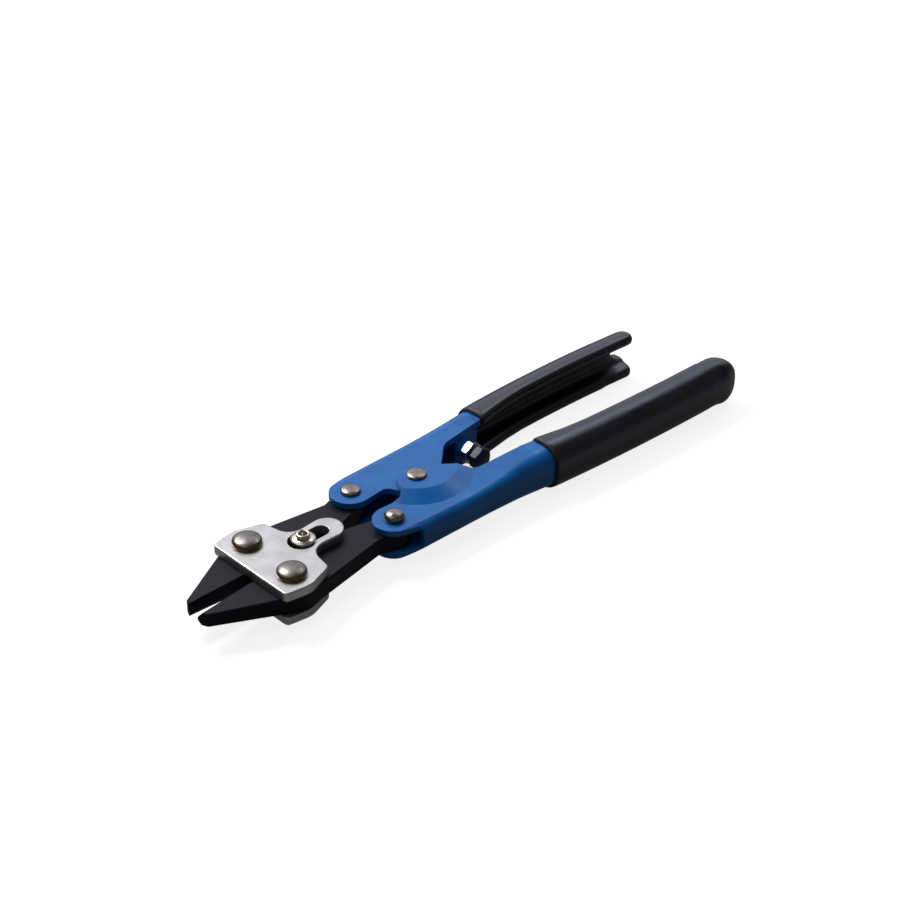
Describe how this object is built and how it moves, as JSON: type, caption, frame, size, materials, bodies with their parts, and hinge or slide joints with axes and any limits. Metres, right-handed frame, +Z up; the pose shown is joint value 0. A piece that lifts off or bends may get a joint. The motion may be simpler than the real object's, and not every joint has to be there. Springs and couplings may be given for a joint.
{
  "type": "compound lever bolt and wire cutter",
  "caption": "Pocket-size compound-lever bolt and wire cutter with black jaws, riveted side plates, blue pressed channel handles and black dipped grips.",
  "frame": {"origin": "on the surface the tool lies on, under the middle of its overall box", "axes": "+X from the jaws to the handles, +Y towards the handle that carries the stop screw, +Z up through the side plates"},
  "size_m": [0.2072, 0.0468, 0.0166],
  "materials": {
    "jaw_steel": "black oxide, satin",
    "plate_steel": "satin nickel",
    "jaw_rivet_steel": "satin, warm grey",
    "rivet_nickel": "warm nickel, satin",
    "guide_nickel": "bright nickel",
    "spacer_steel": "plain turned",
    "blue_enamel": "stoved enamel, satin gloss, slight orange peel",
    "grip_vinyl": "dipped vinyl, satin gloss",
    "screw_black": "black oxide",
    "nut_zinc": "bright zinc"
  },
  "bodies": {
    "frame": {"upper_plate": "plate_steel", "lower_plate": "plate_steel", "left_jaw_rivet": "jaw_rivet_steel", "right_jaw_rivet": "jaw_rivet_steel"},
    "left_jaw": {"left_jaw": "jaw_steel"},
    "right_jaw": {"right_jaw": "jaw_steel"},
    "guide": {"guide_pin": "guide_nickel", "guide_sleeve": "guide_nickel", "upper_collar": "guide_nickel", "lower_collar": "guide_nickel"},
    "left_handle": {"left_handle": "blue_enamel", "left_link_rivet": "rivet_nickel", "handle_pivot_rivet": "rivet_nickel", "pivot_spacer": "spacer_steel", "left_grip": "grip_vinyl", "stop_screw": "screw_black", "stop_lock_nut": "nut_zinc"},
    "right_handle": {"right_handle": "blue_enamel", "right_link_rivet": "rivet_nickel", "right_grip": "grip_vinyl"}
  },
  "joints": [
    {"name": "left_jaw_pivot", "type": "hinge", "parent": "frame", "child": "left_jaw", "pos_m": [-0.07599, 0.01284, 0.0083], "axis": [0, 0, 1], "range_deg": [-2.4, 2.7]},
    {"name": "right_jaw_pivot", "type": "hinge", "parent": "frame", "child": "right_jaw", "pos_m": [-0.07599, -0.00706, 0.0083], "axis": [0, 0, 1], "range_deg": [-2.75, 2.45]},
    {"name": "guide_slide", "type": "slide", "parent": "frame", "child": "guide", "axis": [1, 0, 0], "range_m": [-0.00043, 0.00048]},
    {"name": "left_link_pivot", "type": "hinge", "parent": "left_jaw", "child": "left_handle", "pos_m": [-0.0365, 0.01253, 0.0083], "axis": [0, 0, 1], "range_deg": [-8.7, 7.75]},
    {"name": "right_link_pivot", "type": "hinge", "parent": "right_jaw", "child": "right_handle", "pos_m": [-0.0365, -0.00675, 0.0083], "axis": [0, 0, 1], "range_deg": [-7.75, 8.7]}
  ],
  "couplings": [
    {"joint": "right_jaw_pivot", "follows": "left_jaw_pivot", "ratio": -1},
    {"joint": "guide_slide", "follows": "left_jaw_pivot", "m_per_rad": 0.00995},
    {"joint": "left_link_pivot", "follows": "left_jaw_pivot", "ratio": -3.21},
    {"joint": "right_link_pivot", "follows": "left_jaw_pivot", "ratio": 3.21}
  ]
}
